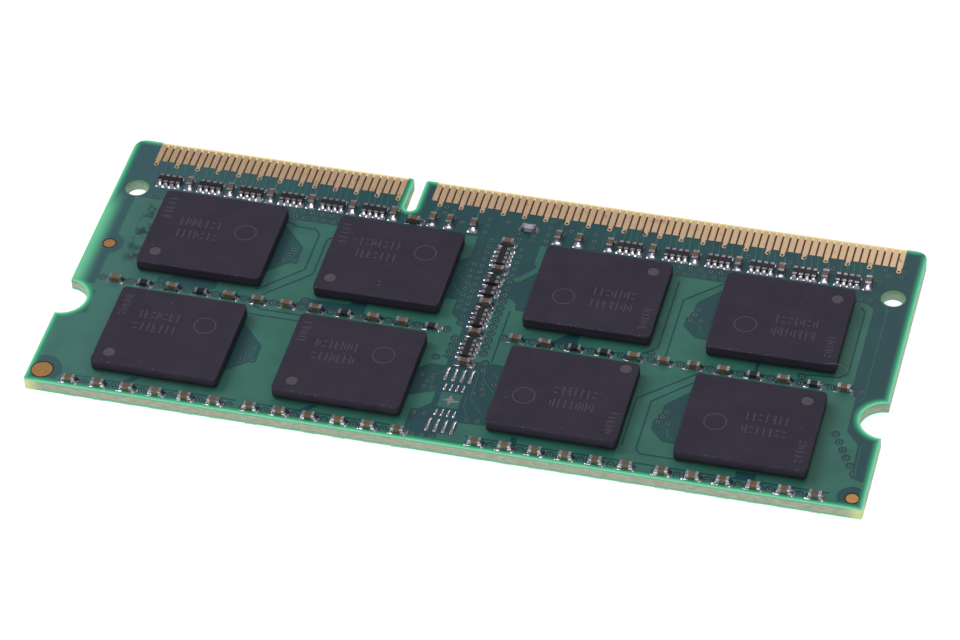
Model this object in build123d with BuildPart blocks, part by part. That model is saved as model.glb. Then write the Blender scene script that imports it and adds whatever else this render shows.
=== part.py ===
from build123d import *
from math import atan2, degrees, hypot
import os

# A 204-contact laptop memory module, in millimetres.
# X runs along the contact edge, +Y towards the contacts, +Z out of the back face.
# The origin is under the middle of the module, on the plane of the front face's packages.

os.makedirs("parts", exist_ok=True)

# ---- Board outline ----
far_width = 67.5            # beyond the side notches, towards the contacts
near_width = 67.7           # the rest, 0.1 mm wider on each side
board_depth = 30.0
notch_x = 33.8              # half-round latch notches on both sides
notch_y = -5.0
notch_radius = 2.0
slot_x = -9.0               # key slot in the contact edge
slot_width = 1.0
slot_depth = 4.0
hole_x = 31.9               # small holes near the contact corners
hole_y = 9.0
hole_radius = 0.9
hole_mask_clearance = 0.12
finger_corner_radius = 1.0
near_corner_radius = 0.25
slot_mouth_radius = 0.3

# ---- Layers, from the middle outwards ----
core_thickness = 0.50
prepreg_thickness = 0.22
foil_thickness = 0.035
mask_thickness = 0.05
plane_pull_back = 0.5       # inner copper stops short of the routed edge

# ---- Memory packages: 78-ball, 10.5 x 9.0 ----
package_length = 10.5
package_width = 9.0
package_corner_radius = 0.4
ball_height = 0.25
substrate_thickness = 0.21
cap_thickness = 0.68
ball_radius = 0.225
ball_pitch = 0.8
balls_along = 13
ball_block_columns = 3
ball_block_offset = 2.4     # middle of each block of three columns
die_length = 8.6
die_width = 6.4
die_thickness = 0.2
pin_one_radius = 0.5
pin_one_depth = 0.02
package_columns = (-23.6, -8.6, 8.8, 23.8)
package_rows = (3.6, -8.45)
# the pin-one mark's distances from its corner, along and across each package, row by row
pin_one_insets = (
    (1.25, 1.5),
    (1.1, 1.45),
    (1.4, 1.3),
    (1.3, 1.35),
    (1.25, 1.3),
    (1.4, 1.25),
    (1.05, 0.8),
    (1.4, 1.3),
)

# ---- Edge contacts ----
contact_pitch = 0.6
contact_width = 0.45
contact_inner_y = 12.7
contact_outer_y = 14.75
contact_thickness = 0.04
first_contact_x = -31.25
short_group_count = 36
long_group_count = 66
group_gap = 3.0             # from the last contact before the key to the first one after it
front_contact_shift = -0.3  # the front face's contacts are staggered by half a pitch
tail_width = 0.36
tail_end_y = 12.25
tail_land_radius = 0.21
tail_via_radius = 0.09
short_group_tails = (0, 3, 6, 9, 12, 15, 18, 21, 23, 26, 29, 32, 35)
long_group_tails = (1, 4, 7, 10, 13, 16, 19, 22, 25, 27, 30, 32, 35, 38, 41, 44, 47, 49, 52, 55, 58, 61, 65)

# ---- Heights ----
laminate_half = core_thickness / 2 + prepreg_thickness
mask_half = laminate_half + mask_thickness
package_height = ball_height + substrate_thickness + cap_thickness
middle_z = mask_half + package_height
core_low_z = middle_z - core_thickness / 2
core_high_z = middle_z + core_thickness / 2
laminate_z = middle_z + laminate_half
face_z = middle_z + mask_half
middle_plane = Plane.XY.offset(middle_z)
far_edge_y = board_depth / 2
near_edge_y = -board_depth / 2
short_group_x = first_contact_x
long_group_x = first_contact_x + (short_group_count - 1) * contact_pitch + group_gap


def draw_board(pull_back=0.0):
    """Draws the board's outline with square corners, pulled back from every edge."""
    far_y = far_edge_y - pull_back
    near_y = near_edge_y + pull_back
    with Locations((0, (far_y + notch_y) / 2)):
        Rectangle(far_width - 2 * pull_back, far_y - notch_y)
    with Locations((0, (near_y + notch_y) / 2)):
        Rectangle(near_width - 2 * pull_back, notch_y - near_y)
    with Locations((-notch_x, notch_y), (notch_x, notch_y)):
        Circle(notch_radius + pull_back, mode=Mode.SUBTRACT)
    slot_bottom_y = far_edge_y - slot_depth + slot_width / 2
    with Locations((slot_x, slot_bottom_y)):
        Circle(slot_width / 2 + pull_back, mode=Mode.SUBTRACT)
    with Locations((slot_x, (far_y + slot_bottom_y) / 2)):
        Rectangle(slot_width + 2 * pull_back, far_y - slot_bottom_y, mode=Mode.SUBTRACT)
    with Locations((-hole_x, hole_y), (hole_x, hole_y)):
        Circle(hole_radius + pull_back, mode=Mode.SUBTRACT)


with BuildSketch() as board_outline:
    draw_board()
    far_corners = board_outline.vertices().group_by(Axis.Y)[-1].sort_by(Axis.X)
    fillet([far_corners[0], far_corners[-1]], finger_corner_radius)
    mouth_corners = board_outline.vertices().group_by(Axis.Y)[-1].sort_by(Axis.X)[1:-1]
    fillet(mouth_corners, slot_mouth_radius)
    near_corners = board_outline.vertices().group_by(Axis.Y)[0]
    fillet(near_corners, near_corner_radius)

with BuildSketch() as inner_plane_shape:
    draw_board(plane_pull_back)


def save(builder, name):
    """Labels a finished sub-part and writes its STEP file."""
    builder.part.label = name
    export_step(builder.part, f"parts/{name}.step", write_pcurves=False)


# ---- Laminate: a core between two outer layers, which hold the inner copper planes ----
with BuildPart() as laminate_core:
    with BuildSketch(Plane.XY.offset(core_low_z)):
        add(board_outline.sketch)
    extrude(amount=core_thickness)

with BuildPart() as laminate_back:
    with BuildSketch(Plane.XY.offset(core_high_z)):
        add(board_outline.sketch)
    extrude(amount=prepreg_thickness)
    with BuildSketch(Plane.XY.offset(core_high_z)):
        add(inner_plane_shape.sketch)
    extrude(amount=foil_thickness, mode=Mode.SUBTRACT)

with BuildPart() as laminate_front:
    mirror(laminate_back.part, about=middle_plane)

with BuildPart() as ground_plane:
    with BuildSketch(Plane.XY.offset(core_high_z)):
        add(inner_plane_shape.sketch)
    extrude(amount=foil_thickness)

with BuildPart() as power_plane:
    mirror(ground_plane.part, about=middle_plane)


# ---- Edge contacts, with the short tails that end in a via ----
def draw_tails(first_x, tails, grow=0.0, mode=Mode.ADD):
    """Draws the tails of a contact group, each ending in a round via land."""
    tail_length = contact_inner_y - tail_end_y
    places = [(first_x + index * contact_pitch, tail_end_y) for index in tails]
    with Locations([(x, y + tail_length / 2) for x, y in places]):
        Rectangle(tail_width + 2 * grow, tail_length, mode=mode)
    with Locations(places):
        Circle(tail_land_radius + grow, mode=mode)


def draw_contacts(first_x, count, tails):
    """Draws a group of edge contacts."""
    length = contact_outer_y - contact_inner_y
    places = [(first_x + index * contact_pitch, contact_inner_y + length / 2) for index in range(count)]
    with Locations(places):
        Rectangle(contact_width, length)
    draw_tails(first_x, tails)
    with Locations([(first_x + index * contact_pitch, tail_end_y) for index in tails]):
        Circle(tail_via_radius, mode=Mode.SUBTRACT)


with BuildPart() as edge_contacts_back_short_group:
    with BuildSketch(Plane.XY.offset(laminate_z)):
        draw_contacts(short_group_x, short_group_count, short_group_tails)
    extrude(amount=contact_thickness)

with BuildPart() as edge_contacts_back_long_group:
    with BuildSketch(Plane.XY.offset(laminate_z)):
        draw_contacts(long_group_x, long_group_count, long_group_tails)
    extrude(amount=contact_thickness)

front_shift = Location((front_contact_shift, 0, 0))

with BuildPart() as edge_contacts_front_short_group:
    mirror(edge_contacts_back_short_group.part.moved(front_shift), about=middle_plane)

with BuildPart() as edge_contacts_front_long_group:
    mirror(edge_contacts_back_long_group.part.moved(front_shift), about=middle_plane)

# ---- Bare gold pads: place, pad radius and the radius kept clear of other copper ----
gold_pads = (
    ((-32.05, 1.9), 0.5, 1.2),
    ((-32.7, -13.6), 0.85, 1.6),
    ((32.85, -13.9), 0.5, 1.2),
)
gold_pad_thickness = 0.04
gold_pad_mask_gap = 0.1

with BuildPart() as gold_pads_back:
    with BuildSketch(Plane.XY.offset(laminate_z)):
        for place, pad_radius, _ in gold_pads:
            with Locations(place):
                Circle(pad_radius)
    extrude(amount=gold_pad_thickness)

with BuildPart() as gold_pads_front:
    mirror(gold_pads_back.part, about=middle_plane)

# ---- Unpopulated footprint: rows of tinned pads either side of a four-pointed pad ----
spare_y = -10.1
spare_long_pad = (0.3, 1.45)
spare_short_pad = (0.22, 0.78)
spare_long_offset = 2.93
spare_short_offset = 1.45
spare_long_pitch = 0.67
spare_short_pitch = 0.5
spare_star_reach = 0.75
spare_star_waist = 0.2
spare_pad_corner = 0.08
tinned_height = 0.09
tinned_bevel = 0.03


def draw_spare_pads(grow=0.0, mode=Mode.ADD):
    """Draws the rows of the unpopulated footprint's pads, grown on every side."""
    rows = (
        (spare_long_offset, spare_long_pitch, spare_long_pad),
        (spare_short_offset, spare_short_pitch, spare_short_pad),
    )
    for offset, pitch, (pad_width, pad_length) in rows:
        with Locations((0, spare_y - offset), (0, spare_y + offset)):
            with GridLocations(pitch, 0, 4, 1):
                RectangleRounded(pad_width + 2 * grow, pad_length + 2 * grow, spare_pad_corner, mode=mode)


def draw_spare_star(mode=Mode.ADD):
    """Draws the four-pointed pad in the middle of the unpopulated footprint."""
    reach = spare_star_reach
    waist = spare_star_waist
    with Locations((0, spare_y)):
        Polygon(
            (reach, 0), (waist, waist), (0, reach), (-waist, waist),
            (-reach, 0), (-waist, -waist), (0, -reach), (waist, -waist), mode=mode,
        )


with BuildPart() as spare_footprint_pads:
    with BuildSketch(Plane.XY.offset(laminate_z)):
        draw_spare_pads()
        draw_spare_star()
    extrude(amount=tinned_height)
    chamfer(spare_footprint_pads.faces().group_by(Axis.Z)[-1].edges(), tinned_bevel)


# ---- Outer copper under the mask: pours, traces and via lands ----
def draw_path(points, width, mode=Mode.ADD):
    """Draws a round-ended track of the given width along a run of points."""
    for start, end in zip(points, points[1:]):
        run = (end[0] - start[0], end[1] - start[1])
        middle = ((start[0] + end[0]) / 2, (start[1] + end[1]) / 2)
        with Locations(Location((*middle, 0), (0, 0, degrees(atan2(run[1], run[0]))))):
            SlotCenterToCenter(hypot(*run), width, mode=mode)


isolation_width = 0.16
trace_width = 0.1
land_radius = 0.24
land_clearance_radius = 0.37

left_pour = (
    (-33.2, -3.3), (-31.7, -3.0), (-31.7, 7.9), (-3.6, 7.9), (-3.6, 9.1), (-2.6, 9.1), (-2.6, 6.6),
    (-3.4, 6.0), (-3.4, 1.3), (-2.4, 1.3), (-2.4, -0.3), (-1.75, -0.9), (-1.1, -1.9), (-1.1, -5.1),
    (-2.0, -5.2), (-1.3, -5.6), (-1.3, -6.3), (-2.6, -6.3), (-3.4, -7.0), (-3.4, -10.2), (-1.35, -9.3),
    (-1.35, -10.7), (-2.8, -12.1), (-2.8, -14.5), (-33.4, -14.5), (-33.4, -7.3), (-31.3, -6.5),
    (-31.3, -3.9),
)
right_pour = (
    (3.0, 9.1), (2.7, 9.1), (2.7, 7.0), (3.0, 6.4), (1.9, 5.0), (0.9, 4.8), (0.9, 4.4), (2.1, 4.5),
    (3.4, 6.0), (3.4, 1.1), (2.5, 1.1), (2.4, 1.8), (1.9, 2.3), (0.8, 2.1), (0.8, -5.4), (3.4, -5.4),
    (3.4, -12.3), (1.3, -12.4), (1.3, -13.2), (-0.3, -14.1), (-0.3, -14.5), (33.4, -14.5), (33.4, -12.1),
    (32.3, -11.8), (32.2, -8.1), (31.1, -6.8), (31.1, -3.0), (30.6, -2.6), (30.6, 7.3), (30.0, 7.9),
    (3.6, 7.9), (3.6, 9.1),
)
star_field = ((-0.85, -9.25), (0.85, -9.25), (0.85, -10.95), (-0.85, -10.95))

# Fields beside and between the packages where the outer copper is etched away.
left_escape_field = ((-19.5, 8.2), (-16.25, 4.75), (-16.25, 3.1), (-17.7, 2.0), (-19.5, 0.2))
right_escape_field = (
    (19.5, 8.2), (16.8, 5.3), (16.6, 4.9), (16.6, 3.7),
    (16.15, 3.2), (16.15, 2.2), (17.3, 1.0), (19.5, 0.9),
)
escape_fields = (left_escape_field, right_escape_field)
etched_fields = (
    ((-27.0, -1.9), (-25.0, -0.2), (-21.9, -0.2), (-21.9, -1.6), (-22.6, -1.9)),
    ((-15.0, -1.9), (-14.3, -1.1), (-10.9, -1.1), (-10.4, -0.6), (-9.3, -0.6), (-9.3, -1.9)),
    ((6.2, -1.9), (7.4, -0.6), (8.3, -0.6), (8.3, -2.2)),
    ((22.7, -0.6), (22.7, -2.2), (22.95, -2.2), (22.95, -0.6)),
    ((5.8, -13.9), (5.7, -13.0), (6.1, -13.0), (6.4, -13.9)),
    ((23.6, -13.8), (23.6, -12.9), (25.2, -12.9), (25.2, -13.8)),
    ((-11.6, -13.9), (-10.6, -12.9), (-10.0, -12.9), (-10.9, -13.9)),
    ((-26.3, -13.9), (-25.3, -12.9), (-24.7, -12.9), (-25.6, -13.9)),
)
isolation_lines = (
    ((-18.6, 7.5), (-18.0, 7.4), (-17.5, 7.1), (-15.9, 7.1), (-15.4, 6.6), (-15.4, 2.2), (-18.6, -0.9)),
    ((-13.9, 6.4), (-14.4, 6.3), (-14.6, 6.0), (-14.6, 1.8), (-17.9, -1.4)),
    ((-18.6, -2.6), (-17.7, -3.15), (-13.6, -3.15)),
    ((-19.0, -3.85), (-13.6, -3.85)),
    ((18.8, 8.2), (15.5, 5.2), (15.5, -1.5)),
    ((18.8, -2.6), (14.3, -6.7), (14.3, -12.0)),
    ((18.8, -3.6), (15.5, -6.8), (15.5, -12.3), (15.9, -12.7), (19.2, -12.7)),
    ((2.15, 0.9), (2.15, -5.1)),
    ((13.7, -1.6), (14.7, -0.7), (14.7, 7.2)),
    ((29.6, 7.3), (30.0, 6.9), (30.0, -0.4), (29.4, -1.0), (26.0, -1.3)),
    ((-31.0, -13.75), (-16.6, -13.75)),
    ((-15.6, -13.75), (-2.9, -13.75)),
    ((2.2, -13.75), (31.0, -13.75)),
    ((-31.3, -2.0), (-2.2, -2.0)),
    ((2.4, -2.0), (31.2, -2.0)),
)
signal_traces = (
    ((30.4, 9.0), (31.6, 7.8), (31.7, 7.4), (31.7, -2.9), (31.4, -3.4)),
    ((32.45, -8.2), (32.55, -11.2)),
    ((1.0, 4.3), (1.9, 4.5), (2.6, 5.4)),
    ((1.1, -6.3), (1.5, -6.7), (1.5, -9.5), (2.7, -11.0)),
    ((1.2, -9.4), (1.2, -10.5), (1.85, -11.8)),
    ((1.9, -6.0), (2.0, -7.2), (3.2, -8.6)),
    ((2.5, -6.4), (3.2, -6.9)),
    ((-1.1, -6.8), (-1.9, -7.6), (-1.9, -9.3)),
    ((-2.2, 6.0), (-3.2, 5.0)),
    ((-1.6, 3.0), (-3.2, 4.4)),
    ((-1.5, 1.7), (-2.6, 2.4), (-3.2, 3.2)),
    ((7.6, 9.6), (7.6, 11.5), (8.6, 12.4)),
    ((-16.7, 4.7), (-16.7, 3.7), (-17.2, 2.8), (-18.1, 2.2)),
    ((-16.7, -7.3), (-16.7, -8.4), (-17.2, -9.3), (-18.1, -9.9)),
    ((16.7, 2.8), (17.4, 2.5), (17.6, 1.7), (18.1, 1.5)),
    ((16.7, -9.3), (17.4, -9.6), (17.6, -10.4), (18.1, -10.6)),
)

# Via rows: first place, step to the next and count.
via_rows = (
    ((-18.35, 9.05), (0.83, 0), 5),
    ((-18.8, 8.35), (0.82, 0), 6),
    ((14.4, 9.05), (0.84, 0), 5),
    ((14.1, 8.35), (0.8, 0), 6),
    ((-30.35, 8.35), (0.8, 0), 2),
    ((29.3, 8.35), (0.85, 0), 2),
    ((-31.35, -2.2), (2.42, 0), 13),
    ((2.35, -2.2), (2.42, 0), 13),
    ((-29.0, -14.3), (2.41, 0), 6),
    ((-14.0, -14.3), (2.42, 0), 5),
    ((4.3, -14.3), (2.41, 0), 5),
    ((19.2, -14.3), (2.41, 0), 5),
    ((-2.0, -14.3), (0.8, 0), 3),
    ((-1.4, 8.9), (0, -0.78), 14),
    ((1.3, 8.3), (0, -0.8), 10),
    ((-1.4, -3.1), (0, -0.8), 3),
    ((1.28, 0.45), (0, -0.8), 7),
    ((-2.05, 5.8), (0, -0.75), 8),
    ((0.8, 9.55), (1.0, 0), 2),
    ((0.75, 10.2), (1.05, 0), 2),
    ((3.0, 12.2), (0, -0.82), 4),
    ((6.85, 11.4), (0, -0.82), 3),
    ((4.75, 11.4), (0, 0.8), 1),
    ((-2.15, 11.4), (0, -0.8), 3),
    ((-6.0, 12.1), (0, -0.7), 2),
    ((-0.6, 11.4), (0, 0.8), 1),
    ((-4.3, 10.6), (0, 0.8), 1),
    ((-23.5, 11.7), (1.3, 0), 2),
    ((30.7, 12.2), (1.5, 0), 2),
    ((31.1, 11.6), (1.0, 0), 2),
    ((30.4, 10.7), (0, 0.8), 1),
    ((19.5, 11.45), (3.5, 0), 3),
    ((30.3, -7.3), (0.43, -0.8), 6),
    ((-26.45, -1.4), (12.1, 0), 2),
    ((14.3, -1.45), (12.2, 0), 2),
    ((1.7, -5.4), (0, -0.8), 2),
    ((-2.35, -5.5), (0, -0.8), 1),
    ((-2.45, -11.9), (0.85, 0), 2),
    ((1.85, -11.9), (0.85, 0), 2),
    ((2.1, -7.65), (0.85, 0), 2),
    ((1.6, -8.9), (0.8, 0), 2),
    ((2.2, -8.3), (0.8, 0), 1),
    ((-2.1, -7.65), (-0.8, 0), 2),
    ((-1.65, -8.9), (-0.8, 0), 2),
    ((-2.3, -8.3), (-0.8, 0), 1),
)
escape_vias = ((0, 0), (-0.2, -0.65), (-0.45, -1.3), (0.4, -1.3))
escape_via_origins = ((-16.95, 4.35), (-16.95, -7.65), (16.95, 4.35), (16.95, -7.65))

via_places = [
    (start[0] + index * step[0], start[1] + index * step[1])
    for start, step, count in via_rows
    for index in range(count)
]
via_places += [(x + dx, y + dy) for x, y in escape_via_origins for dx, dy in escape_vias]

row_shift = package_rows[1] - package_rows[0]
footprint_isolation = 0.12
notch_isolation = 0.35

# ---- Places of the parts on the face ----
far_row_y = 10.3            # resistor arrays and capacitors next to the contacts
middle_row_y = -2.3         # between the two rows of packages
near_row_y = -14.33
middle_row_pitch = 2.42
near_row_pitch = 2.41
centre_column_x = -0.05
centre_capacitor_x = 0.05
far_row_array_x = [-29.4 + 3.53 * index for index in range(6)] + [9.95]
far_row_array_x += [13.8 + 3.54 * index for index in range(5)]
far_row_capacitor_x = [-27.65 + 3.52 * index for index in range(6)] + [-6.75, -5.3, -3.25, 3.9, 5.65]
far_row_capacitor_x += [8.25 + 3.57 * index for index in range(7)]
middle_row_x = [start + middle_row_pitch * index for start in (-30.15, 3.4) for index in range(12)]
middle_row_resistors = (1, 3, 8, 11, 14, 15, 20, 22)
near_row_x = [
    start + near_row_pitch * index for start in (-30.2, -15.2, 3.1, 18.0) for index in range(6)
]
centre_capacitor_y = (8.75, 5.4, 1.3, -2.3, -5.75)
centre_array_y = (7.0, -0.5, -4.15)
centre_pair_y = (4.05, 2.7)
ferrite_place = (1.3, 10.75)


def at(x, y, angle=0.0):
    """A place on the back face, turned about Z."""
    return Location((x, y, face_z), (0, 0, angle))


capacitor_places = [at(x, far_row_y, 90) for x in far_row_capacitor_x]
capacitor_places += [at(x, near_row_y) for x in near_row_x]
capacitor_places += [at(centre_capacitor_x, y) for y in centre_capacitor_y]
capacitor_places += [
    at(x, middle_row_y) for index, x in enumerate(middle_row_x) if index not in middle_row_resistors
]
capacitor_places += [at(-8.2, 9.8)]
resistor_places = [at(middle_row_x[index], middle_row_y) for index in middle_row_resistors]
array_places = [at(x, far_row_y, 90) for x in far_row_array_x]
array_places += [at(centre_column_x, y) for y in centre_array_y]
pair_places = [at(centre_column_x, y) for y in centre_pair_y]

# ---- Outer copper shapes ----
fan_out_y = 11.15
array_pitch = 0.53
fan_out_lean = 0.12


def draw_signal_traces():
    """Draws the hand-routed traces, and the fan-out from the contacts to the far row of parts."""
    for line in signal_traces:
        draw_path(line, trace_width)
    for x in far_row_array_x:
        for index in range(4):
            foot_x = x + (index - 1.5) * array_pitch
            draw_path([(foot_x, fan_out_y), (foot_x, 11.5), (foot_x - fan_out_lean, 12.45)], trace_width)
    for x in far_row_capacitor_x:
        draw_path([(x, fan_out_y), (x, 11.9)], 2 * trace_width)


with BuildSketch() as pour_shape:
    Polygon(*left_pour)
    Polygon(*right_pour)
    for field in escape_fields:
        for shift in (0, row_shift):
            Polygon(*[(x, y + shift) for x, y in field], mode=Mode.SUBTRACT)
    for field in etched_fields:
        Polygon(*field, mode=Mode.SUBTRACT)
    for line in isolation_lines:
        draw_path(line, isolation_width, mode=Mode.SUBTRACT)
    with Locations(via_places):
        Circle(land_clearance_radius, mode=Mode.SUBTRACT)
    Polygon(*star_field)
    draw_spare_star(mode=Mode.SUBTRACT)
    draw_spare_pads(footprint_isolation, mode=Mode.SUBTRACT)
    for place, _, clear_radius in gold_pads:
        with Locations(place):
            Circle(clear_radius, mode=Mode.SUBTRACT)
    with Locations((-notch_x, notch_y), (notch_x, notch_y)):
        Circle(notch_radius + notch_isolation, mode=Mode.SUBTRACT)

with BuildSketch() as land_shape:
    with Locations(via_places):
        Circle(land_radius)

with BuildSketch() as trace_shape:
    draw_signal_traces()
    add(pour_shape.sketch, mode=Mode.SUBTRACT)
    with Locations(via_places):
        Circle(land_radius, mode=Mode.SUBTRACT)

with BuildPart() as copper_pours_back:
    with BuildSketch(Plane.XY.offset(laminate_z)):
        add(pour_shape.sketch)
    extrude(amount=foil_thickness)

with BuildPart() as signal_traces_back:
    with BuildSketch(Plane.XY.offset(laminate_z)):
        add(trace_shape.sketch)
    extrude(amount=foil_thickness)

with BuildPart() as via_lands_back:
    with BuildSketch(Plane.XY.offset(laminate_z)):
        add(land_shape.sketch)
    extrude(amount=foil_thickness)

with BuildPart() as copper_pours_front:
    mirror(copper_pours_back.part, about=middle_plane)

with BuildPart() as signal_traces_front:
    mirror(signal_traces_back.part, about=middle_plane)

with BuildPart() as via_lands_front:
    mirror(via_lands_back.part, about=middle_plane)


# ---- Solder mask: covers the copper, open over the contacts, bare pads and holes ----
tail_mask_gap = 0.03
contact_groups = (
    (short_group_x, short_group_count, short_group_tails),
    (long_group_x, long_group_count, long_group_tails),
)


def draw_mask(contact_shift=0.0):
    """Draws the mask with its openings, the ones at the contacts moved by contact_shift."""
    add(board_outline.sketch)
    window_depth = far_edge_y - contact_inner_y
    for group_x, count, tails in contact_groups:
        start_x = group_x + contact_shift
        span = (count - 1) * contact_pitch
        with Locations((start_x + span / 2, contact_inner_y + window_depth / 2)):
            Rectangle(span + contact_width, window_depth, mode=Mode.SUBTRACT)
        draw_tails(start_x, tails, tail_mask_gap, mode=Mode.SUBTRACT)
    for place, pad_radius, _ in gold_pads:
        with Locations(place):
            Circle(pad_radius + gold_pad_mask_gap, mode=Mode.SUBTRACT)
    with Locations((-hole_x, hole_y), (hole_x, hole_y)):
        Circle(hole_radius + hole_mask_clearance, mode=Mode.SUBTRACT)


with BuildSketch() as outer_copper_shape:
    add(pour_shape.sketch)
    add(trace_shape.sketch)
    add(land_shape.sketch)

with BuildPart() as solder_mask_back:
    with BuildSketch(Plane.XY.offset(laminate_z)):
        draw_mask()
        draw_spare_pads(mode=Mode.SUBTRACT)
        draw_spare_star(mode=Mode.SUBTRACT)
    extrude(amount=mask_thickness)
    with BuildSketch(Plane.XY.offset(laminate_z)):
        add(outer_copper_shape.sketch)
    extrude(amount=foil_thickness, mode=Mode.SUBTRACT)

with BuildPart() as solder_mask_front_upright:
    with BuildSketch(Plane.XY.offset(laminate_z)):
        draw_mask(front_contact_shift)
    extrude(amount=mask_thickness)
    with BuildSketch(Plane.XY.offset(laminate_z)):
        add(outer_copper_shape.sketch)
    extrude(amount=foil_thickness, mode=Mode.SUBTRACT)

with BuildPart() as solder_mask_front:
    mirror(solder_mask_front_upright.part, about=middle_plane)

board_parts = {
    "laminate_core": laminate_core,
    "laminate_back": laminate_back,
    "laminate_front": laminate_front,
    "ground_plane": ground_plane,
    "power_plane": power_plane,
    "edge_contacts_back_short_group": edge_contacts_back_short_group,
    "edge_contacts_back_long_group": edge_contacts_back_long_group,
    "edge_contacts_front_short_group": edge_contacts_front_short_group,
    "edge_contacts_front_long_group": edge_contacts_front_long_group,
    "gold_pads_back": gold_pads_back,
    "gold_pads_front": gold_pads_front,
    "spare_footprint_pads": spare_footprint_pads,
    "copper_pours_back": copper_pours_back,
    "copper_pours_front": copper_pours_front,
    "signal_traces_back": signal_traces_back,
    "signal_traces_front": signal_traces_front,
    "via_lands_back": via_lands_back,
    "via_lands_front": via_lands_front,
    "solder_mask_back": solder_mask_back,
    "solder_mask_front": solder_mask_front,
}
for name, builder in board_parts.items():
    save(builder, name)

# ---- Memory packages: balls, substrate, die and mould cap ----
def turned(x):
    """The packages right of the centre column are turned half a turn."""
    return 180 if x > 0 else 0


package_places = [at(x, y, turned(x)) for y in package_rows for x in package_columns]
standing = (Align.CENTER, Align.CENTER, Align.MIN)
substrate_base = Location((0, 0, ball_height))
cap_base_z = ball_height + substrate_thickness
cap_edge_chamfer = 0.04

with BuildPart() as solder_ball:
    Cylinder(ball_radius, ball_height, align=standing)

with BuildPart() as package_balls:
    with Locations((0, -ball_block_offset), (0, ball_block_offset)):
        with GridLocations(ball_pitch, ball_pitch, balls_along, ball_block_columns):
            add(solder_ball.part)

with BuildPart() as solder_balls_back:
    with Locations(package_places):
        add(package_balls.part)

with BuildPart() as solder_balls_front:
    mirror(solder_balls_back.part, about=middle_plane)

with BuildSketch() as package_outline:
    RectangleRounded(package_length, package_width, package_corner_radius)

with BuildPart() as package_substrate:
    with BuildSketch():
        add(package_outline.sketch)
    extrude(amount=substrate_thickness)

with BuildPart() as package_substrates_back:
    with Locations([place * substrate_base for place in package_places]):
        add(package_substrate.part)

with BuildPart() as package_substrates_front:
    mirror(package_substrates_back.part, about=middle_plane)

with BuildPart() as silicon_die:
    with BuildSketch(Plane.XY.offset(cap_base_z)):
        Rectangle(die_length, die_width)
    extrude(amount=die_thickness)

with BuildPart() as silicon_dies_back:
    with Locations(package_places):
        add(silicon_die.part)

with BuildPart() as silicon_dies_front:
    mirror(silicon_dies_back.part, about=middle_plane)

with BuildPart() as mould_cap:
    with BuildSketch(Plane.XY.offset(cap_base_z)):
        add(package_outline.sketch)
    extrude(amount=cap_thickness)
    chamfer(mould_cap.faces().sort_by(Axis.Z)[-1].edges(), cap_edge_chamfer)
    add(silicon_die.part, mode=Mode.SUBTRACT)

for index, (place, inset) in enumerate(zip(package_places, pin_one_insets)):
    pin_one_x = inset[0] - package_length / 2
    pin_one_y = inset[1] - package_width / 2
    with BuildPart() as memory_cap_back:
        with Locations(place):
            add(mould_cap.part)
        with Locations(place * Location((pin_one_x, pin_one_y, package_height - pin_one_depth))):
            Cylinder(pin_one_radius, pin_one_depth, align=standing, mode=Mode.SUBTRACT)
    save(memory_cap_back, f"memory_cap_back_{index + 1}")
    with BuildPart() as memory_cap_front:
        mirror(memory_cap_back.part, about=middle_plane)
    save(memory_cap_front, f"memory_cap_front_{index + 1}")

# ---- Chip capacitors, 1.0 x 0.5: a ceramic block with a plated cap on each end ----
chip_length = 1.0
chip_width = 0.5
capacitor_height = 0.5
capacitor_band = 0.24
plating = 0.02
chip_edge_radius = 0.05

with BuildPart() as capacitor_block:
    with Locations((0, 0, capacitor_height / 2)):
        Box(chip_length - 2 * plating, chip_width - 2 * plating, capacitor_height - 2 * plating)

with BuildPart() as capacitor_bands:
    band_x = (chip_length - capacitor_band) / 2
    with Locations((-band_x, 0, capacitor_height / 2), (band_x, 0, capacitor_height / 2)):
        Box(capacitor_band, chip_width, capacitor_height)
    add(capacitor_block.part, mode=Mode.SUBTRACT)

with BuildPart() as capacitor_blocks_back:
    with Locations(capacitor_places):
        add(capacitor_block.part)

with BuildPart() as capacitor_terminals_back:
    with Locations(capacitor_places):
        add(capacitor_bands.part)

# ---- Chip resistors: an alumina block, a glazed top and wrapped terminals ----
resistor_height = 0.36
resistor_band = 0.2
glaze_thickness = 0.03
array_terminal_width = 0.32
array_terminal_run = 0.24

# each kind: number of terminals on a side, width across them
resistor_kinds = {"single": (1, chip_width), "pair": (2, 1.0), "array": (4, 2.04)}
resistor_kind_places = {"single": resistor_places, "pair": pair_places, "array": array_places}
resistor_blocks = {}
resistor_coats = {}
resistor_wraps = {}


def terminal_offsets(count):
    """Middles of the terminals on one side of a resistor."""
    return [(index - (count - 1) / 2) * array_pitch for index in range(count)]


for kind, (count, width) in resistor_kinds.items():
    wrap_width = chip_width if count == 1 else array_terminal_width
    wrap_run = resistor_band if count == 1 else array_terminal_run
    wrap_x = (chip_length - wrap_run) / 2
    with BuildPart() as resistor_block:
        with Locations((0, 0, resistor_height / 2)):
            Box(chip_length - 2 * plating, width - 2 * plating, resistor_height - 2 * plating)
    with BuildPart() as resistor_wrap:
        with GridLocations(2 * wrap_x, 0, 2, 1):
            with Locations([(0, y, resistor_height / 2) for y in terminal_offsets(count)]):
                Box(wrap_run, wrap_width, resistor_height)
        add(resistor_block.part, mode=Mode.SUBTRACT)
    with BuildPart() as resistor_coat:
        with BuildSketch(Plane.XY.offset(resistor_height - plating)):
            Rectangle(chip_length - 2 * wrap_run - plating, width - 2 * plating)
        extrude(amount=glaze_thickness)
        fillet(resistor_coat.faces().sort_by(Axis.Z)[-1].edges(), glaze_thickness / 2)
    resistor_blocks[kind] = resistor_block.part
    resistor_wraps[kind] = resistor_wrap.part
    resistor_coats[kind] = resistor_coat.part

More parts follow.
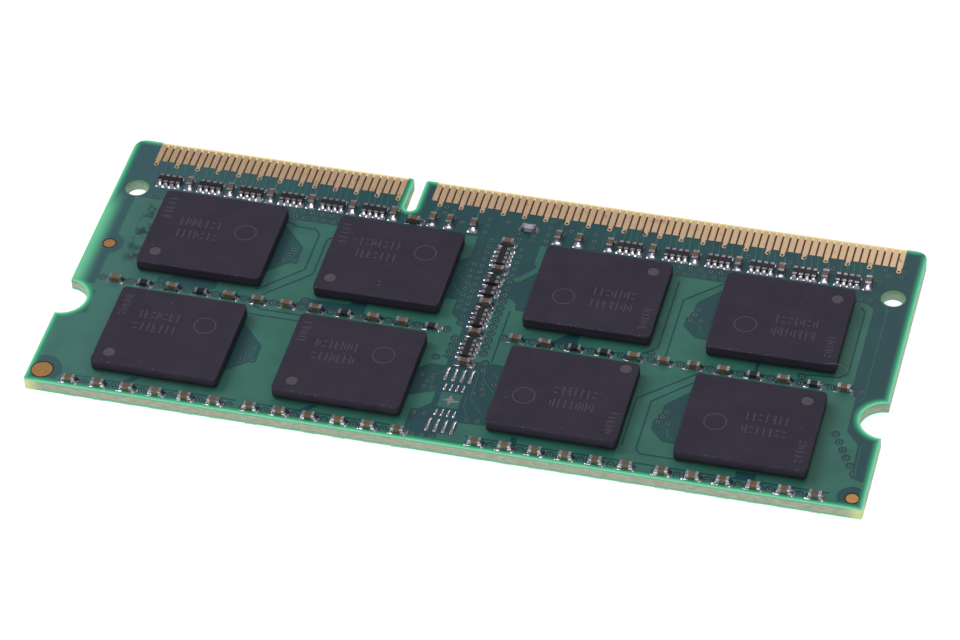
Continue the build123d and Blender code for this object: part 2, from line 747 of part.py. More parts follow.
with BuildPart() as resistor_blocks_back:
    for kind, places in resistor_kind_places.items():
        with Locations(places):
            add(resistor_blocks[kind])

with BuildPart() as resistor_terminals_back:
    for kind, places in resistor_kind_places.items():
        with Locations(places):
            add(resistor_wraps[kind])

with BuildPart() as resistor_coats_back:
    for kind, places in resistor_kind_places.items():
        with Locations(places):
            add(resistor_coats[kind])

# ---- Ferrite chip, 1.1 x 0.6, on the back face only ----
ferrite_length = 1.1
ferrite_width = 0.6
ferrite_height = 0.5
ferrite_band = 0.22
ferrite_location = at(*ferrite_place)

with BuildPart() as ferrite_core:
    with Locations(ferrite_location * Location((0, 0, ferrite_height / 2))):
        Box(ferrite_length - 2 * plating, ferrite_width - 2 * plating, ferrite_height - 2 * plating)
    fillet(ferrite_core.edges().filter_by(Axis.X), chip_edge_radius)

with BuildPart() as ferrite_terminals:
    ferrite_band_x = (ferrite_length - ferrite_band) / 2
    band_places = [Location((x, 0, ferrite_height / 2)) for x in (-ferrite_band_x, ferrite_band_x)]
    with Locations([ferrite_location * place for place in band_places]):
        Box(ferrite_band, ferrite_width, ferrite_height)
    add(ferrite_core.part, mode=Mode.SUBTRACT)

# ---- Solder fillets at the ends of the chip parts ----
fillet_run = 0.3
fillet_height_share = 0.75
fillet_sag = 0.05


def solder_fillet(width, height):
    """A concave solder fillet against the plane X = 0, rising to height, on the board."""
    with BuildPart() as wedge:
        with BuildSketch(Plane.XZ):
            with BuildLine():
                Line((0, 0), (fillet_run, 0))
                Line((fillet_run, 0), (fillet_run, plating))
                SagittaArc((fillet_run, plating), (0, height), fillet_sag)
                Line((0, height), (0, 0))
            make_face()
        extrude(amount=width / 2, both=True)
    return wedge.part


def fillet_places(places, length, offsets=(0,)):
    """Both ends of each place, at every terminal offset."""
    ends = [Location((length / 2, y, 0)) for y in offsets]
    ends += [Location((-length / 2, y, 0), (0, 0, 180)) for y in offsets]
    return [place * end for place in places for end in ends]


capacitor_wedge = solder_fillet(chip_width, capacitor_height * fillet_height_share)
resistor_wedge = solder_fillet(chip_width, resistor_height * fillet_height_share)
array_wedge = solder_fillet(array_terminal_width, resistor_height * fillet_height_share)
ferrite_wedge = solder_fillet(ferrite_width, ferrite_height * fillet_height_share)

with BuildPart() as solder_fillets_back:
    with Locations(fillet_places(capacitor_places, chip_length)):
        add(capacitor_wedge)
    with Locations(fillet_places(resistor_places, chip_length)):
        add(resistor_wedge)
    with Locations(fillet_places(pair_places, chip_length, terminal_offsets(2))):
        add(array_wedge)
    with Locations(fillet_places(array_places, chip_length, terminal_offsets(4))):
        add(array_wedge)

with BuildPart() as ferrite_solder:
    with Locations(fillet_places([ferrite_location], ferrite_length)):
        add(ferrite_wedge)

with BuildPart() as capacitor_blocks_front:
    mirror(capacitor_blocks_back.part, about=middle_plane)

with BuildPart() as capacitor_terminals_front:
    mirror(capacitor_terminals_back.part, about=middle_plane)

with BuildPart() as resistor_blocks_front:
    mirror(resistor_blocks_back.part, about=middle_plane)

with BuildPart() as resistor_terminals_front:
    mirror(resistor_terminals_back.part, about=middle_plane)

with BuildPart() as resistor_coats_front:
    mirror(resistor_coats_back.part, about=middle_plane)

with BuildPart() as solder_fillets_front:
    mirror(solder_fillets_back.part, about=middle_plane)

# ---- Serial memory for the module's own data, on the front face, where the back has spare pads ----
serial_length = 3.0
serial_width = 2.0
serial_height = 0.55
serial_lead = (0.3, 0.25)
serial_lead_height = 0.02
serial_lead_pitch = 0.5
serial_lead_count = 4
serial_low_z = middle_z - mask_half - serial_height

with BuildPart() as serial_memory_leads:
    with BuildSketch(Plane.XY.offset(middle_z - mask_half - serial_lead_height)):
        with Locations((0, spare_y)):
            with GridLocations(serial_width - serial_lead[0], serial_lead_pitch, 2, serial_lead_count):
                Rectangle(*serial_lead)
    extrude(amount=serial_lead_height)

with BuildPart() as serial_memory:
    with BuildSketch(Plane.XY.offset(serial_low_z)):
        with Locations((0, spare_y)):
            Rectangle(serial_width, serial_length)
    extrude(amount=serial_height - serial_lead_height)
    chamfer(serial_memory.faces().sort_by(Axis.Z)[0].edges(), cap_edge_chamfer)

component_parts = {
    "solder_balls_back": solder_balls_back,
    "solder_balls_front": solder_balls_front,
    "package_substrates_back": package_substrates_back,
    "package_substrates_front": package_substrates_front,
    "silicon_dies_back": silicon_dies_back,
    "silicon_dies_front": silicon_dies_front,
    "capacitor_blocks_back": capacitor_blocks_back,
    "capacitor_blocks_front": capacitor_blocks_front,
    "capacitor_terminals_back": capacitor_terminals_back,
    "capacitor_terminals_front": capacitor_terminals_front,
    "resistor_blocks_back": resistor_blocks_back,
    "resistor_blocks_front": resistor_blocks_front,
    "resistor_terminals_back": resistor_terminals_back,
    "resistor_terminals_front": resistor_terminals_front,
    "resistor_coats_back": resistor_coats_back,
    "resistor_coats_front": resistor_coats_front,
    "ferrite_core": ferrite_core,
    "ferrite_terminals": ferrite_terminals,
    "ferrite_solder": ferrite_solder,
    "solder_fillets_back": solder_fillets_back,
    "solder_fillets_front": solder_fillets_front,
    "serial_memory": serial_memory,
    "serial_memory_leads": serial_memory_leads,
}
for name, builder in component_parts.items():
    save(builder, name)
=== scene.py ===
import math
import random

import bmesh
import bpy
from mathutils import Matrix, Vector


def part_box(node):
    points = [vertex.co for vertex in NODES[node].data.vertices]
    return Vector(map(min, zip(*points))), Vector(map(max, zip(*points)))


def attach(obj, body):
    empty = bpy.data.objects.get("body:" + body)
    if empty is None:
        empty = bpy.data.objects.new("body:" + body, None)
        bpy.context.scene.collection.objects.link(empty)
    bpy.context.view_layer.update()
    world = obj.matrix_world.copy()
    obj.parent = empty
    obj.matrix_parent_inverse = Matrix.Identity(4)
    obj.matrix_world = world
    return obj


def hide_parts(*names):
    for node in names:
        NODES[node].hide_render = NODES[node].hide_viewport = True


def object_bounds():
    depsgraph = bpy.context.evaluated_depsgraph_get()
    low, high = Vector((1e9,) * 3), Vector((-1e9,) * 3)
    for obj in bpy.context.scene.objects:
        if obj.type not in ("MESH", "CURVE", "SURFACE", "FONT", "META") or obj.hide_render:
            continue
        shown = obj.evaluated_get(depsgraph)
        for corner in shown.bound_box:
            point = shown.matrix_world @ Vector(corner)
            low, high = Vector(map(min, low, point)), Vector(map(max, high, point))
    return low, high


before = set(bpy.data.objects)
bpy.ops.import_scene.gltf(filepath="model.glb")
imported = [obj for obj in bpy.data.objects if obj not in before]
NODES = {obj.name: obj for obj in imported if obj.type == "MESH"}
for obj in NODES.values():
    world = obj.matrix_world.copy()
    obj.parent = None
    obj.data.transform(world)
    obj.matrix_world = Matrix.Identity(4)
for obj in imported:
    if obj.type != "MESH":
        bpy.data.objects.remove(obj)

CAD_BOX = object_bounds()
MM = 0.001
SIDES = ("back", "front")

# ---- Places taken from the frame ----
CORE_LOW, CORE_HIGH = (Vector(corner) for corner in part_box("laminate_core"))
MASK_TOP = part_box("solder_mask_back")[1][2]
MASK_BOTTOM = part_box("solder_mask_front")[0][2]
CAP_TOP = CAD_BOX[1][2]      # the packages stand highest
MIDDLE_Z = (CORE_LOW.z + CORE_HIGH.z) / 2

# ---- The board's outline, in millimetres ----
EDGE_X = CORE_HIGH.x / MM
EDGE_Y = CORE_HIGH.y / MM
FAR_SET_BACK = 0.1          # beyond the notches, each side is this much further in
NOTCH_X = 33.8
NOTCH_Y = -5.0
NOTCH_RADIUS = 2.0
HOLE_X = 31.9
HOLE_Y = 9.0
HOLE_RADIUS = 0.9
SLOT_X = -9.0
SLOT_HALF_WIDTH = 0.5
SLOT_BOTTOM_Y = 11.5
PLANE_PULL_BACK = 0.5       # the inner copper stops this far inside the outline


def srgb(red, green, blue):
    """A display colour, 0 to 255 a channel, as the linear colour that shaders take."""
    def linear(value):
        value /= 255
        return value / 12.92 if value <= 0.04045 else ((value + 0.055) / 1.055) ** 2.4
    return (linear(red), linear(green), linear(blue), 1.0)


# ---- Material building ----
NOISE_SPAN = (0.3, 0.7)     # most of a noise's values lie between these


class Shade:
    """A material whose node tree is written with short calls."""

    def __init__(self, name):
        self.material = bpy.data.materials.new(name)
        self.material.use_nodes = True
        self.tree = self.material.node_tree
        self.shader = self.tree.nodes["Principled BSDF"]
        coordinates = self.tree.nodes.new("ShaderNodeTexCoord")
        to_mm = self.tree.nodes.new("ShaderNodeVectorMath")
        to_mm.operation = "SCALE"
        to_mm.inputs["Scale"].default_value = 1 / MM
        self.tree.links.new(coordinates.outputs["Object"], to_mm.inputs[0])
        self.position = to_mm.outputs[0]
        self.generated = coordinates.outputs["Generated"]
        self.x, self.y, self.z = self.split(self.position)
        upright = self.split(coordinates.outputs["Normal"])[2]
        self.faces_out = self.math("GREATER_THAN", self.math("ABSOLUTE", upright), 0.5)

    def feed(self, socket, value):
        """Links a socket, or sets a constant."""
        if isinstance(value, bpy.types.NodeSocket):
            self.tree.links.new(value, socket)
        else:
            socket.default_value = value

    def set(self, **inputs):
        """Sets or links inputs of the Principled shader, with _ for a space in the name."""
        for name, value in inputs.items():
            self.feed(self.shader.inputs[name.replace("_", " ")], value)

    def split(self, vector):
        """The X, Y and Z of a vector socket."""
        node = self.tree.nodes.new("ShaderNodeSeparateXYZ")
        self.tree.links.new(vector, node.inputs[0])
        return node.outputs

    def math(self, operation, *values):
        """The result of a Math node."""
        node = self.tree.nodes.new("ShaderNodeMath")
        node.operation = operation
        for socket, value in zip(node.inputs, values):
            self.feed(socket, value)
        return node.outputs[0]

    def remap(self, value, low, high, to_low=0.0, to_high=1.0):
        """A smooth step of value from low..high to to_low..to_high."""
        node = self.tree.nodes.new("ShaderNodeMapRange")
        node.interpolation_type = "SMOOTHSTEP"
        for socket, item in zip(node.inputs, (value, low, high, to_low, to_high)):
            self.feed(socket, item)
        return node.outputs[0]

    def noise(self, scale, detail=2.0, stretch=(1, 1, 1), roughness=0.5):
        """Noise with features of about 1 / scale millimetres."""
        mapping = self.tree.nodes.new("ShaderNodeMapping")
        mapping.inputs["Scale"].default_value = stretch
        self.tree.links.new(self.position, mapping.inputs["Vector"])
        node = self.tree.nodes.new("ShaderNodeTexNoise")
        node.inputs["Scale"].default_value = scale
        node.inputs["Detail"].default_value = detail
        node.inputs["Roughness"].default_value = roughness
        self.tree.links.new(mapping.outputs[0], node.inputs["Vector"])
        return node.outputs["Fac"]

    def mix(self, factor, first, second):
        """A colour between first and second."""
        node = self.tree.nodes.new("ShaderNodeMix")
        node.data_type = "RGBA"
        self.feed(node.inputs[0], factor)
        colours = [socket for socket in node.inputs if socket.type == "RGBA"]
        self.feed(colours[0], first)
        self.feed(colours[1], second)
        return [socket for socket in node.outputs if socket.type == "RGBA"][0]

    def two_tone(self, noise, tone, other_tone):
        """A colour that drifts between two tones with a noise."""
        return self.mix(self.remap(noise, *NOISE_SPAN), tone, other_tone)

    def bump(self, height, distance_mm, strength):
        """Surface relief of the given depth."""
        node = self.tree.nodes.new("ShaderNodeBump")
        node.inputs["Strength"].default_value = strength
        node.inputs["Distance"].default_value = distance_mm * MM
        self.feed(node.inputs["Height"], height)
        self.tree.links.new(node.outputs[0], self.shader.inputs["Normal"])

    def apart(self, value, centre):
        """How far a value is from a centre."""
        return self.math("ABSOLUTE", self.math("SUBTRACT", value, centre))

    def from_middle_plane(self):
        """Distance from the board's middle plane, in millimetres."""
        return self.apart(self.z, MIDDLE_Z / MM)

    def from_circle(self, x, centre_x, centre_y, radius):
        """Distance outside a circle in the XY plane."""
        run_x = self.math("SUBTRACT", x, centre_x)
        run_y = self.math("SUBTRACT", self.y, centre_y)
        square = self.math("ADD", self.math("MULTIPLY", run_x, run_x), self.math("MULTIPLY", run_y, run_y))
        return self.math("SUBTRACT", self.math("SQRT", square), radius)

    def edge_distance(self, with_holes=False):
        """Distance inside the board's outline, in millimetres, as a socket."""
        either_x = self.math("ABSOLUTE", self.x)
        set_back = self.math("MULTIPLY", self.math("GREATER_THAN", self.y, NOTCH_Y), FAR_SET_BACK)
        across = self.math("SUBTRACT", EDGE_X, self.math("ADD", either_x, set_back))
        along = self.math("SUBTRACT", EDGE_Y, self.math("ABSOLUTE", self.y))
        beside_slot = self.math("SUBTRACT", self.apart(self.x, SLOT_X), SLOT_HALF_WIDTH)
        short_of_slot = self.math("MULTIPLY", self.math("LESS_THAN", self.y, SLOT_BOTTOM_Y), EDGE_X)
        others = [
            along,
            self.from_circle(either_x, NOTCH_X, NOTCH_Y, NOTCH_RADIUS),
            self.from_circle(self.x, SLOT_X, SLOT_BOTTOM_Y, SLOT_HALF_WIDTH),
            self.math("ADD", beside_slot, short_of_slot),
        ]
        if with_holes:
            others.append(self.from_circle(either_x, HOLE_X, HOLE_Y, HOLE_RADIUS))
        distance = across
        for other in others:
            distance = self.math("MINIMUM", distance, other)
        return distance


# ---- Materials ----
BACK_GLOW = 0.25            # light that comes through the bare laminate at the edges
# Painted backlight: the tones of the mask's bright band and pale rim near the outline.
BACKLIT_HALO_TONE = srgb(48, 186, 132)
BACKLIT_RIM_TONE = srgb(158, 240, 194)
PALE_END_SHARE = 0.16
SMUDGE_PLACE = (-29.7, 3.9)
# In the pairs below an effect starts at the first value and is full at the second, in millimetres.
HALO_REACH = (PLANE_PULL_BACK + 0.2, 0.1)
RIM_REACH = (0.34, 0.04)
STRIP_X = (-32.1, -33.7)
STRIP_NOTCH_Y = (-3.4, -2.6)
STRIP_HOLE_Y = (9.0, 5.5)
PALE_END_X = (-8.0, -30.0)
SMUDGE_REACH_X = (1.0, 0.4)
SMUDGE_REACH_Y = (4.4, 2.8)


def backlit_strip(shade, grain):
    """Painted backlight: the bright strip along the left side, from the notch to the hole."""
    wavy_x = shade.math("ADD", shade.x, shade.math("MULTIPLY", grain, 0.1))
    past_notch = shade.remap(shade.y, *STRIP_NOTCH_Y)
    short_of_hole = shade.remap(shade.y, *STRIP_HOLE_Y)
    span = shade.math("MULTIPLY", short_of_hole, past_notch)
    return shade.math("MULTIPLY", shade.remap(wavy_x, *STRIP_X), span)


def smudge(shade):
    """Streaks of dirt beside the first package."""
    across = shade.remap(shade.apart(shade.x, SMUDGE_PLACE[0]), *SMUDGE_REACH_X)
    along = shade.remap(shade.apart(shade.y, SMUDGE_PLACE[1]), *SMUDGE_REACH_Y)
    streaks = shade.remap(shade.noise(0.9, detail=6, roughness=0.75), 0.44, 0.6)
    return shade.math("MULTIPLY", shade.math("MULTIPLY", across, along), streaks)


def mask_material(name, tone, deep_tone):
    """Solder mask: a green film, with painted backlight: brighter, with a pale rim and a glow, where light
    comes through past the inner copper.
    """
    shade = Shade(name)
    cloud = shade.noise(0.35, detail=3)
    grain = shade.noise(9.0, detail=3)
    colour = shade.two_tone(cloud, tone, deep_tone)
    colour = shade.mix(shade.remap(shade.x, *PALE_END_X, 0.0, PALE_END_SHARE), colour, srgb(130, 176, 180))
    colour = shade.mix(shade.math("MULTIPLY", smudge(shade), 0.8), colour, srgb(26, 48, 50))
    # Painted backlight: the mask turns brighter green, gets a pale rim and glows towards the outline and
    # along the left strip.
    distance = shade.math("ADD", shade.edge_distance(), shade.math("MULTIPLY", grain, 0.06))
    strip = backlit_strip(shade, grain)
    halo = shade.math("MAXIMUM", shade.remap(distance, *HALO_REACH), strip)
    rim = shade.math("MULTIPLY", shade.remap(distance, *RIM_REACH), 0.6)
    rim = shade.math("MAXIMUM", rim, shade.math("MULTIPLY", strip, 0.45))
    colour = shade.mix(halo, colour, BACKLIT_HALO_TONE)
    colour = shade.mix(rim, colour, BACKLIT_RIM_TONE)
    roughness = shade.remap(grain, *NOISE_SPAN, 0.34, 0.46)
    shade.set(Base_Color=colour, Roughness=roughness, Specular_IOR_Level=0.45)
    shade.set(Emission_Color=colour, Emission_Strength=shade.math("MULTIPLY", halo, BACK_GLOW))
    weave = shade.noise(2.2, detail=2)
    shade.bump(shade.math("ADD", weave, shade.math("MULTIPLY", grain, 0.3)), 0.012, 0.5)
    return shade.material


GREEN_WALL_HEIGHT = (0.22, 0.42)        # from the board's middle plane
CORNER_REACH = (-1.6, -0.2)             # from the outline's corners
CONTACT_END_Y = (11.5, 12.5)


def laminate_material():
    """Glass-epoxy: straw-coloured layers at the edges, dark over the inner copper on top, with painted
    backlight where no copper lies inside.
    """
    shade = Shade("laminate")
    fibre = shade.noise(1.0, detail=4, stretch=(1.2, 1.2, 9))
    speck = shade.noise(2.4, detail=3)
    wall = shade.two_tone(fibre, srgb(140, 150, 132), srgb(176, 184, 158))
    wall = shade.mix(shade.remap(speck, 0.45, 0.7, 0.0, 0.6), wall, srgb(186, 184, 160))
    near_faces = shade.remap(shade.from_middle_plane(), *GREEN_WALL_HEIGHT, 0.0, 0.9)
    wall = shade.mix(near_faces, wall, srgb(84, 176, 134))
    corner_x = shade.remap(shade.math("ABSOLUTE", shade.x), *(EDGE_X + reach for reach in CORNER_REACH))
    corner_y = shade.remap(shade.math("ABSOLUTE", shade.y), *(EDGE_Y + reach for reach in CORNER_REACH))
    corner = shade.math("MULTIPLY", corner_x, corner_y)
    wall = shade.mix(shade.math("MULTIPLY", corner, 0.8), wall, srgb(222, 232, 158))
    distance = shade.edge_distance(with_holes=True)
    over_plane = shade.remap(distance, PLANE_PULL_BACK - 0.06, PLANE_PULL_BACK + 0.06)
    colour = shade.mix(over_plane, wall, srgb(84, 52, 34))
    # Where no inner copper lies behind, the up-facing laminate gets its own pale straw colour plus painted
    # backlight: paler still past the contacts, and glowing as if lit through from below.
    pale = shade.math("MULTIPLY", shade.faces_out, shade.math("SUBTRACT", 1.0, over_plane))
    at_contacts = shade.remap(shade.y, *CONTACT_END_Y)
    colour = shade.mix(pale, colour, shade.mix(at_contacts, srgb(112, 146, 112), srgb(255, 232, 172)))
    shade.set(Base_Color=colour, Roughness=0.55)
    shade.set(Emission_Color=colour, Emission_Strength=shade.math("MULTIPLY", pale, BACK_GLOW))
    shade.bump(fibre, 0.02, 0.6)
    return shade.material


def gold_material(name, tone, other_tone, specks):
    """Gold plating with a fine grain along the insertion direction, faint stains and dark specks."""
    shade = Shade(name)
    wipe = shade.noise(4.0, detail=3, stretch=(6, 0.5, 1))
    stain = shade.noise(0.9, detail=4, roughness=0.6)
    colour = shade.two_tone(wipe, tone, other_tone)
    colour = shade.mix(shade.remap(stain, 0.58, 0.75, 0.0, 0.55), colour, srgb(176, 122, 92))
    pits = shade.remap(shade.noise(3.2, detail=3, roughness=0.7), 0.62, 0.7, 0.0, specks)
    colour = shade.mix(pits, colour, srgb(84, 56, 38))
    shade.set(Base_Color=colour, Metallic=0.85, Roughness=shade.remap(wipe, *NOISE_SPAN, 0.32, 0.48))
    shade.bump(wipe, 0.004, 0.5)
    return shade.material


CAP_RIM_DROP = (0.1, 0.02)              # below the package's top
CAP_RIM_SHARE = (0.008, 0.0)            # of the package's length, from its sides


def mould_material():
    """Mould compound: dark, matte and finely grained, rubbed lighter along its edges."""
    shade = Shade("mould_compound")
    grain = shade.noise(14.0, detail=4, roughness=0.65)
    cloud = shade.noise(0.5, detail=3)
    colour = shade.two_tone(cloud, srgb(56, 50, 68), srgb(62, 55, 72))
    colour = shade.mix(shade.remap(grain, 0.45, 0.8, 0.0, 0.35), colour, srgb(80, 72, 86))
    sideways = shade.split(shade.generated)[:2]
    insets = [shade.math("SUBTRACT", 0.5, shade.apart(axis, 0.5)) for axis in sideways]
    rim = shade.remap(shade.math("MINIMUM", *insets), *CAP_RIM_SHARE)
    rim_height = ((CAP_TOP - MIDDLE_Z) / MM - drop for drop in CAP_RIM_DROP)
    rim = shade.math("MULTIPLY", rim, shade.remap(shade.from_middle_plane(), *rim_height))
    worn = shade.math("MULTIPLY", rim, shade.remap(shade.noise(1.6, detail=4), 0.5, 0.66))
    colour = shade.mix(shade.math("MULTIPLY", worn, 0.3), colour, srgb(118, 108, 116))
    roughness = shade.remap(grain, *NOISE_SPAN, 0.62, 0.8)
    shade.set(Base_Color=colour, Roughness=roughness, Specular_IOR_Level=0.35)
    shade.bump(grain, 0.014, 0.7)
    return shade.material


def tinned_material(name, bright, dull, metallic, roughness):
    """Tin or solder: metal between two tones, slightly wavy."""
    shade = Shade(name)
    wave = shade.noise(3.5, detail=2)
    colour = shade.mix(shade.remap(wave, 0.35, 0.7), bright, dull)
    shade.set(Base_Color=colour, Metallic=metallic)
    shade.set(Roughness=shade.remap(wave, *NOISE_SPAN, roughness, roughness + 0.12))
    shade.bump(wave, 0.02, 0.6)
    return shade.material


def ceramic_material(name, tone, other_tone, roughness):
    """Fired ceramic, its tone drifting from part to part."""
    shade = Shade(name)
    part_tone = shade.noise(0.6, detail=1)
    grain = shade.noise(16.0, detail=3)
    colour = shade.two_tone(part_tone, tone, other_tone)
    colour = shade.mix(shade.remap(grain, 0.4, 0.8, 0.0, 0.25), colour, srgb(190, 170, 150))
    shade.set(Base_Color=colour, Roughness=roughness)
    shade.bump(grain, 0.008, 0.5)
    return shade.material


def plain_grained(name, tone, other_tone, roughness, metallic=0.0, scale=8.0):
    """A quiet material with a fine grain between two close tones."""
    shade = Shade(name)
    grain = shade.noise(scale, detail=3)
    shade.set(Base_Color=shade.two_tone(grain, tone, other_tone), Metallic=metallic)
    shade.set(Roughness=shade.remap(grain, *NOISE_SPAN, roughness - 0.06, roughness + 0.06))
    shade.bump(grain, 0.006, 0.5)
    return shade.material


MASK = mask_material("solder_mask", srgb(36, 92, 95), srgb(38, 83, 93))
MASK_OVER_COPPER = mask_material("mask_over_copper", srgb(64, 132, 116), srgb(57, 120, 106))
MASK_OVER_TRACE = mask_material("mask_over_trace", srgb(56, 118, 114), srgb(50, 108, 106))
LAMINATE = laminate_material()
GOLD = gold_material("contact_gold", srgb(254, 212, 172), srgb(255, 224, 186), 0.0)
PAD_GOLD = gold_material("pad_gold", srgb(232, 174, 112), srgb(220, 162, 102), 0.9)
MOULD = mould_material()
TINNED = tinned_material("tinned_terminal", srgb(214, 212, 222), srgb(156, 153, 166), 0.92, 0.2)
SOLDER = tinned_material("solder", srgb(230, 228, 236), srgb(172, 170, 182), 0.95, 0.1)
CAPACITOR = ceramic_material("capacitor_ceramic", srgb(128, 100, 74), srgb(108, 84, 64), 0.42)
ALUMINA = plain_grained("alumina", srgb(44, 40, 44), srgb(60, 55, 58), 0.55)
GLAZE = plain_grained("resistor_glaze", srgb(26, 24, 28), srgb(38, 35, 40), 0.38)
FERRITE = plain_grained("ferrite", srgb(206, 204, 214), srgb(182, 180, 192), 0.45)
SUBSTRATE = plain_grained("package_laminate", srgb(30, 30, 28), srgb(44, 42, 38), 0.6)
COPPER = plain_grained("copper_foil", srgb(200, 128, 92), srgb(180, 108, 78), 0.4, metallic=0.9)
SILICON = plain_grained("silicon", srgb(96, 98, 106), srgb(84, 86, 94), 0.2, metallic=0.4)
# Painted shade: the near-black inside of a via hole, on a flat disc.
VIA_HOLE_SHADE = plain_grained("via_hole_shade", srgb(6, 6, 8), srgb(14, 12, 12), 0.8, scale=12.0)
VIA_RIM = plain_grained("via_rim", srgb(154, 174, 162), srgb(126, 150, 140), 0.45, scale=12.0)
PAD_GAP = plain_grained("pad_gap", srgb(34, 28, 22), srgb(48, 38, 30), 0.7, scale=12.0)
MARKING = plain_grained("laser_marking", srgb(92, 84, 98), srgb(80, 72, 88), 0.75, scale=12.0)
PIN_MARK = plain_grained("pin_one_mark", srgb(102, 92, 104), srgb(88, 80, 92), 0.6, scale=10.0)
WEAR = plain_grained("edge_wear", srgb(168, 160, 166), srgb(132, 124, 132), 0.7, scale=10.0)

# A node takes the longest of these names that its own name starts with.
NODE_MATERIALS = {
    "laminate": LAMINATE,
    "ground_plane": COPPER,
    "power_plane": COPPER,
    "copper_pours": COPPER,
    "signal_traces": COPPER,
    "via_lands": COPPER,
    "edge_contacts": GOLD,
    "gold_pads": PAD_GOLD,
    "spare_footprint_pads": TINNED,
    "solder_mask": MASK,
    "solder_balls": SOLDER,
    "package_substrates": SUBSTRATE,
    "silicon_dies": SILICON,
    "memory_cap": MOULD,
    "serial_memory_leads": TINNED,
    "serial_memory": MOULD,
    "capacitor_blocks": CAPACITOR,
    "capacitor_terminals": TINNED,
    "resistor_blocks": ALUMINA,
    "resistor_terminals": TINNED,
    "resistor_coats": GLAZE,
    "ferrite_core": FERRITE,
    "ferrite_terminals": TINNED,
    "ferrite_solder": SOLDER,
    "solder_fillets": SOLDER,
}
BEVELS_MM = {
    "edge_contacts": 0.012,
    "capacitor_terminals": 0.045,
    "resistor_terminals": 0.03,
    "ferrite_terminals": 0.05,
    "resistor_blocks": 0.03,
}


def add_bevel(piece, width_mm):
    """Rounds the sharp edges of a piece."""
    bevel = piece.modifiers.new("rounded_edges", "BEVEL")
    bevel.width = width_mm * MM
    bevel.segments = 2
    bevel.limit_method = "ANGLE"
    bevel.angle_limit = math.radians(40)


def dress_cad_nodes():
    """Gives every CAD node its material, and rounded edges where the real piece has them."""
    for name, node in NODES.items():
        longest = max((key for key in NODE_MATERIALS if name.startswith(key)), key=len)
        node.data.materials.clear()
        node.data.materials.append(NODE_MATERIALS[longest])
        for key, width in BEVELS_MM.items():
            if name.startswith(key):
                add_bevel(node, width)


# ---- Making pieces ----
def new_piece(name, mesh, material, replaces=()):
    """Adds a finished mesh to the scene as a piece of the object."""
    mesh.materials.clear()
    mesh.materials.append(material)
    piece = bpy.data.objects.new(name, mesh)
    bpy.context.scene.collection.objects.link(piece)
    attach(piece, "root")
    if replaces:
        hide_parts(*replaces)


def finish_mesh(mesh, name, smooth=False):
    """Turns a bmesh into a mesh datablock."""
    data = bpy.data.meshes.new(name)
    mesh.to_mesh(data)
    mesh.free()
    if smooth:
        data.polygons.foreach_set("use_smooth", [True] * len(data.polygons))
    return data


def islands(node_name):
    """The boxes (low, high) of the separate solids of a CAD node, in metres, row by row."""
    mesh = bmesh.new()
    mesh.from_mesh(NODES[node_name].data)
    bmesh.ops.remove_doubles(mesh, verts=mesh.verts, dist=1e-7)
    unseen = set(mesh.verts)
    boxes = []
    while unseen:
        stack = [unseen.pop()]
        points = []
        while stack:
            vertex = stack.pop()
            points.append(vertex.co.copy())
            for edge in vertex.link_edges:
                other = edge.other_vert(vertex)
                if other in unseen:
                    unseen.remove(other)
                    stack.append(other)
        low = Vector([min(point[axis] for point in points) for axis in range(3)])
        high = Vector([max(point[axis] for point in points) for axis in range(3)])
        boxes.append((low, high))
    mesh.free()
    return sorted(boxes, key=lambda box: (round(box[0].y, 5), round(box[0].x, 5)))


def out_of(side):
    """+1 for the back face, which looks up, and -1 for the front face."""
    return 1 if side == "back" else -1


def face_height(side):
    """Z of the mask's outer face on that side."""
    return MASK_TOP if side == "back" else MASK_BOTTOM


def add_face(mesh, corners, forwards):
    """Adds a face, with its corners the other way round where it isn't to look forwards."""
    mesh.faces.new(corners if forwards else corners[::-1])


def add_disc(mesh, centre, radius, z, outwards, segments):
    """Adds a flat disc that faces outwards."""
    matrix = Matrix.Translation((centre[0], centre[1], z))
    if outwards < 0:
        matrix = matrix @ Matrix.Rotation(math.pi, 4, "X")
    bmesh.ops.create_circle(mesh, cap_ends=True, radius=radius, segments=segments, matrix=matrix)


def add_ring(mesh, centre, z, outwards, inner, outer, height, segments):
    """Adds a low ring with a rounded top, standing on z."""
    profile = (
        (inner, 0.0),
        (inner, 0.6),
        (inner * 0.7 + outer * 0.3, 1.0),
        (inner * 0.3 + outer * 0.7, 1.0),
        (outer, 0.0),
    )
    loops = []
    for radius, rise in profile:
        loop = []
        for step in range(segments):
            angle = 2 * math.pi * step / segments
            loop.append(mesh.verts.new((
                centre[0] + radius * math.cos(angle),
                centre[1] + radius * math.sin(angle),
                z + outwards * rise * height,
            )))
        loops.append(loop)
    closed = loops + [loops[0]]
    for lower, upper in zip(closed, closed[1:]):
        for step in range(segments):
            follow = (step + 1) % segments
            add_face(mesh, [lower[step], lower[follow], upper[follow], upper[step]], outwards > 0)


# ---- The mask's relief, vias and gold pads ----
RELIEF_ROOT = 0.004 * MM
COPPER_RELIEF = 0.022 * MM
TRACE_RELIEF = 0.015 * MM
DISC_LIFT = 0.004 * MM      # keeps flat discs clear of the faces beside them
VIA_HOLE_RADIUS = 0.105 * MM
VIA_RING_RADIUS = 0.155 * MM
VIA_RING_HEIGHT = 0.012 * MM
VIA_SEGMENTS = 16
HOLE_SEGMENTS = 12
TAIL_Y = 12.2 * MM          # a contact that reaches further in than this has a tail
TAIL_PAD_RADIUS = 0.21 * MM
TAIL_HOLE_RADIUS = 0.1 * MM
PAD_GAP_WIDTH = 0.07 * MM
PAD_GAP_HEIGHT = 0.006 * MM
LARGE_RING_SEGMENTS = 40


